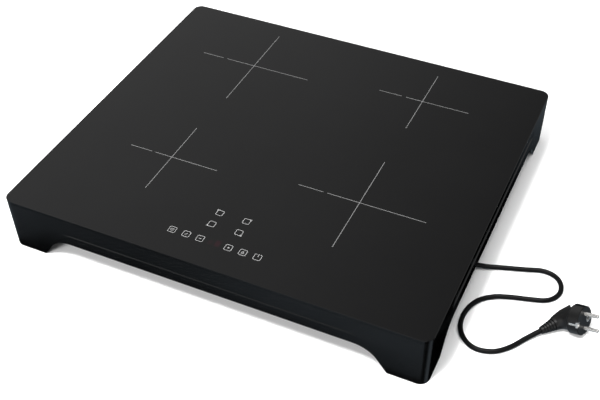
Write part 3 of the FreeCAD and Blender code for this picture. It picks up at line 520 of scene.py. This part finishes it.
LINE_W = 0.85
CROSSES = {   # y of the long line, its x start, gap start, gap end, x end; x of the other line, its y start and end
    "rear_left": (141.9, -218.6, -184.0, -178.0, -42.9, -131.9, 52.7, 229.6),
    "front_left": (-96.0, -201.0, -167.6, -162.8, -67.0, -136.7, -164.6, -26.6),
    "rear_right": (162.3, 64.3, 99.4, 105.8, 200.9, 131.2, 93.6, 230.4),
    "front_right": (-76.1, 44.0, 80.2, 85.6, 222.1, 131.1, -164.5, 12.8),
}
lines = []
for y, xa, g0, g1, xb, x, ya, yb in CROSSES.values():
    lines.append(bar(xa, y, g0, y, LINE_W))
    lines.append(bar(g1, y, x - LINE_W / 2, y, LINE_W))
    lines.append(bar(x + LINE_W / 2, y, xb, y, LINE_W))
    lines.append(bar(x, ya, x, yb, LINE_W))
flat_mesh("zone_crosses", printed("zone_enamel", 0.12, 0.16), lines)

KEY_Y = -218.3
KEY = 4.75         # half size of a key's frame
ZONE_KEY = 4.5
STROKE = 0.6
keys = []
for kx in (-64.5, -44.5, -24.8, 15.0, 34.9):
    keys += outline(rounded(kx, KEY_Y, KEY, 1.7), STROKE)
# timer: a circle with a hand
keys += outline(circle(-64.5, KEY_Y, 2.2), 0.45)
keys += [bar(-64.5, KEY_Y - 0.1, -64.5, KEY_Y + 1.2, 0.4), bar(-64.5, KEY_Y, -63.6, KEY_Y - 0.5, 0.4)]
# lamp or slider: a slanted stroke
keys += [bar(-46.0, KEY_Y - 1.6, -43.0, KEY_Y + 1.7, 0.7)]
# minus
keys += [bar(-26.5, KEY_Y, -23.1, KEY_Y, 0.7)]
# plus
keys += [bar(13.4, KEY_Y, 16.6, KEY_Y, 0.7), bar(15.0, KEY_Y - 1.6, 15.0, KEY_Y - 0.35, 0.7),
         bar(15.0, KEY_Y + 0.35, 15.0, KEY_Y + 1.6, 0.7)]
# lock
keys += outline([(33.5, KEY_Y - 1.8), (36.3, KEY_Y - 1.8), (36.3, KEY_Y + 0.2), (33.5, KEY_Y + 0.2)], 0.5)
keys += outline(circle(34.9, KEY_Y + 0.6, 0.9, 10, 0, 180), 0.4, closed=False)
# power: the frame is open at the top, with a stroke in the gap
PX = 55.0
p = rounded(PX, KEY_Y, KEY, 1.7)
ring = [(PX - 1.7, KEY_Y + KEY)] + p[12:] + p[:12] + [(PX + 1.7, KEY_Y + KEY)]
keys += outline(ring, STROKE, closed=False)
keys += [bar(PX, KEY_Y + 1.0, PX, KEY_Y + 5.4, 0.7)]
# zone keys, each with a small corner flag towards its zone
for kx, ky, fx, fy in ((-24.2, -167.3, -1, 1), (-24.0, -189.3, -1, -1), (14.0, -167.3, 1, 1), (14.5, -189.3, 1, -1)):
    keys += outline(rounded(kx, ky, ZONE_KEY, 1.6), STROKE)
    cx, cy = kx + fx * (ZONE_KEY + 0.9), ky + fy * (ZONE_KEY + 0.5)
    keys += outline([(cx, cy), (cx - fx * 3.0, cy - fy * 0.2), (cx - fx * 0.4, cy - fy * 2.8)], 0.5)
flat_mesh("key_prints", printed("key_enamel", 0.24, 0.32), keys, z=PRINT_Z + 0.00001)
flat_mesh("display_window", display_window(),
          [rounded(-4.5, -217.0, 0.0, 0.0)[:0] or [(-17.5, -224.5), (8.5, -224.5), (8.5, -209.5), (-17.5, -209.5)]],
          z=GLASS_Z + 0.00001)

# ------------------------------------------------------------ floor, light
SCENE.view_settings.view_transform = "Standard"
SCENE.view_settings.look = "None"
SCENE.view_settings.exposure = 0.0
SCENE.view_settings.gamma = 1.0

bm = bmesh.new()
bmesh.ops.create_grid(bm, x_segments=24, y_segments=24, size=6.0)
floor_me = bpy.data.meshes.new("floor")
bm.to_mesh(floor_me)
bm.free()
floor = bpy.data.objects.new("floor", floor_me)
COLL.objects.link(floor)
fg = Graph("floor_sweep")
fg.color(fg.ramp(fg.noise(1.5, 3.0), [(0.3, (0.86, 0.86, 0.86)), (0.7, (0.90, 0.90, 0.90))]))
fg.rough(fg.remap(fg.noise(40.0, 2.0), 0.3, 0.7, 0.75, 0.9))
fg.b.inputs["Specular IOR Level"].default_value = 0.0
floor_me.materials.append(fg.m)
floor.visible_glossy = False

# A black card just under the floor, seen only in the gloss of the walls: it stands for
# the contact shadow that glossy walls mirror near their foot.
bm = bmesh.new()
bmesh.ops.create_grid(bm, x_segments=2, y_segments=2, size=0.45)
card_me = bpy.data.meshes.new("shadow_card")
bm.to_mesh(card_me)
bm.free()
card = bpy.data.objects.new("shadow_card", card_me)
card.location = (0.0, 0.0, -0.0006)
COLL.objects.link(card)
cg = Graph("shadow_card")
cx_, cy_, cz_ = cg.xyz()
qx = cg.math("MAXIMUM", cg.math("SUBTRACT", cg.math("ABSOLUTE", cx_), 0.282), 0.0)
qy = cg.math("MAXIMUM", cg.math("SUBTRACT", cg.math("ABSOLUTE", cy_), 0.247), 0.0)
dist = cg.math("SUBTRACT", cg.math("SQRT", cg.math("ADD", cg.math("MULTIPLY", qx, qx), cg.math("MULTIPLY", qy, qy))), 0.013)
soften = cg.remap(cx_, 0.15, 0.27, 1.0, 1.7, True)
through = cg.ramp(cg.math("DIVIDE", cg.math("MULTIPLY", dist, soften), 0.08), [(0.09, (0.0, 0.0, 0.0)), (0.14, (0.15, 0.15, 0.15)), (0.19, (0.45, 0.45, 0.45)),
                                                 (0.28, (0.60, 0.60, 0.60)), (0.44, (0.72, 0.72, 0.72)), (0.62, (0.86, 0.86, 0.86)),
                                                 (0.85, (1.0, 1.0, 1.0))])
# between the feet the front wall mirrors the darker floor under the arch
lower_front = cg.ramp(cg.math("DIVIDE", dist, 0.08), [(0.09, (0.0, 0.0, 0.0)), (0.20, (0.10, 0.10, 0.10)), (0.29, (0.20, 0.20, 0.20)),
                                                      (0.39, (0.33, 0.33, 0.33)), (0.43, (0.42, 0.42, 0.42)), (0.467, (0.55, 0.55, 0.55)),
                                                      (0.50, (0.74, 0.74, 0.74)), (0.60, (0.87, 0.87, 0.87)), (0.85, (1.0, 1.0, 1.0))])
weight = cg.math("MULTIPLY", cg.remap(cx_, -0.290, -0.262, 0.0, 1.0, True), cg.remap(cx_, 0.11, 0.21, 1.0, 0.25, True))
weight = cg.math("MULTIPLY", weight, cg.math("LESS_THAN", cy_, 0.0))
through = cg.math("ADD", cg.math("MULTIPLY", through, cg.math("SUBTRACT", 1.0, weight)), cg.math("MULTIPLY", lower_front, weight))
right_side = cg.math("MULTIPLY", cg.remap(qx, 0.006, 0.012, 0.0, 1.0, True), cg.math("GREATER_THAN", cx_, 0.0))
through = cg.math("MAXIMUM", through, right_side)
clear = cg.node("BsdfTransparent")
black = cg.node("Emission")
black.inputs["Strength"].default_value = 0.0
blend = cg.node("MixShader")
cg.link(through, blend.inputs[0])
cg.link(black.outputs[0], blend.inputs[1])
cg.link(clear.outputs[0], blend.inputs[2])
cg.link(blend.outputs[0], cg.out.inputs["Surface"])
card_me.materials.append(cg.m)
for flag in ("visible_camera", "visible_diffuse", "visible_transmission", "visible_volume_scatter", "visible_shadow"):
    setattr(card, flag, False)

world = bpy.data.worlds.new("studio")
SCENE.world = world
world.use_nodes = True
wt = world.node_tree
wt.nodes.clear()


class WorldGraph(Graph):
    def __init__(self, tree):
        self.t = tree
        self._pos = None


wg = WorldGraph(wt)
wout = wg.node("OutputWorld")
bg = wg.node("Background")
wg.link(bg.outputs[0], wout.inputs["Surface"])
dx, dy, dz = wg.xyz(wg.node("TexCoord").outputs["Generated"])
# upper half: a wide soft gradient, lighter on the left, and a soft panel overhead
back = wg.remap(dy, -0.1, 0.45, 0.0, 1.0, True)
grad = wg.remap(dx, -0.62, -0.33, 0.57, 0.40)
grad_r = wg.remap(dx, -0.33, 0.0, 0.40, 0.10)
grad = wg.math("ADD", wg.math("MULTIPLY", grad, wg.math("LESS_THAN", dx, -0.33)),
               wg.math("MULTIPLY", grad_r, wg.math("GREATER_THAN", dx, -0.33)))
sky = wg.math("ADD", wg.math("MULTIPLY", grad, back), wg.math("MULTIPLY", wg.math("SUBTRACT", 1.0, back), 0.10))
low_front = wg.math("MULTIPLY", wg.remap(dy, -0.54, -0.62, 0.0, 0.45, True), wg.remap(dz, 0.72, 0.82, 1.0, 0.0, True))
low_side = wg.math("MULTIPLY", wg.remap(dx, 0.40, 0.60, 0.0, 0.35, True), wg.remap(dz, 0.28, 0.42, 1.0, 0.0, True))
low_front = wg.math("MULTIPLY", low_front, wg.remap(dx, -0.50, -0.42, 1.8, 1.0, True))
sky = wg.math("ADD", sky, wg.math("ADD", low_front, low_side))
panel = wg.math("MULTIPLY", wg.remap(dz, 0.90, 0.97, 0.0, 1.0, True), 2.6)
upper = wg.math("ADD", sky, panel)
# lower half, seen only in the gloss of the walls: soft panels round the object
phi = wg.math("ARCTAN2", dx, wg.math("MULTIPLY", dy, -1.0))
deg = wg.math("MULTIPLY", phi, 57.29578)
front = wg.math("MULTIPLY", wg.remap(deg, 18.0, 33.0, 1.0, 0.0, True), wg.remap(deg, -140.0, -100.0, 0.0, 1.0, True))
shade = wg.remap(wg.math("ABSOLUTE", wg.math("ADD", deg, 40.0)), 2.0, 14.0, 0.36, 1.0, True)
front = wg.math("MULTIPLY", front, wg.math("MULTIPLY", shade, 0.215))
strip = wg.math("MULTIPLY", wg.remap(deg, 62.0, 82.0, 0.0, 1.0, True), wg.remap(deg, 106.0, 122.0, 1.0, 0.0, True))
strip = wg.math("MULTIPLY", strip, 0.25)
horizon = wg.math("MULTIPLY", wg.remap(dz, -0.66, -0.50, 0.0, 1.0, True), 0.17)
nadir = wg.math("MULTIPLY", wg.remap(dz, -0.82, -0.92, 0.0, 1.0, True), 0.2)
lower = wg.math("ADD", wg.math("ADD", front, strip), wg.math("ADD", horizon, nadir))
sel = wg.remap(dz, -0.06, 0.06, 0.0, 1.0, True)
high = wg.math("MULTIPLY", upper, sel)
low = wg.math("MULTIPLY", lower, wg.math("SUBTRACT", 1.0, sel))
comb = wg.node("CombineColor")
for i, tint in enumerate((0.84, 1.0, 1.14)):
    wg.link(wg.math("ADD", high, wg.math("MULTIPLY", low, tint)), comb.inputs[i])
wg.link(comb.outputs[0], bg.inputs["Color"])
bg.inputs["Strength"].default_value = 1.0


def area(name, loc, target, size, power, size_y=None, glossy=True, color=(1, 1, 1)):
    d = bpy.data.lights.new(name, "AREA")
    d.shape = "RECTANGLE"
    d.size = size
    d.size_y = size_y or size
    d.energy = power
    d.color = color
    o = bpy.data.objects.new(name, d)
    COLL.objects.link(o)
    o.location = loc
    o.rotation_mode = "QUATERNION"
    o.rotation_quaternion = (Vector(target) - Vector(loc)).to_track_quat("-Z", "Y")
    o.visible_glossy = glossy
    return o


area("overhead", (0.0, 0.0, 2.4), (0, 0, 0), 3.2, 68.0, glossy=False)
area("key", (-0.22, -1.20, 2.4), (0, 0, 0), 0.34, 62.0, glossy=False)
area("fill", (-0.70, -2.90, 1.5), (0, 0, 0), 1.0, 84.0, glossy=False)
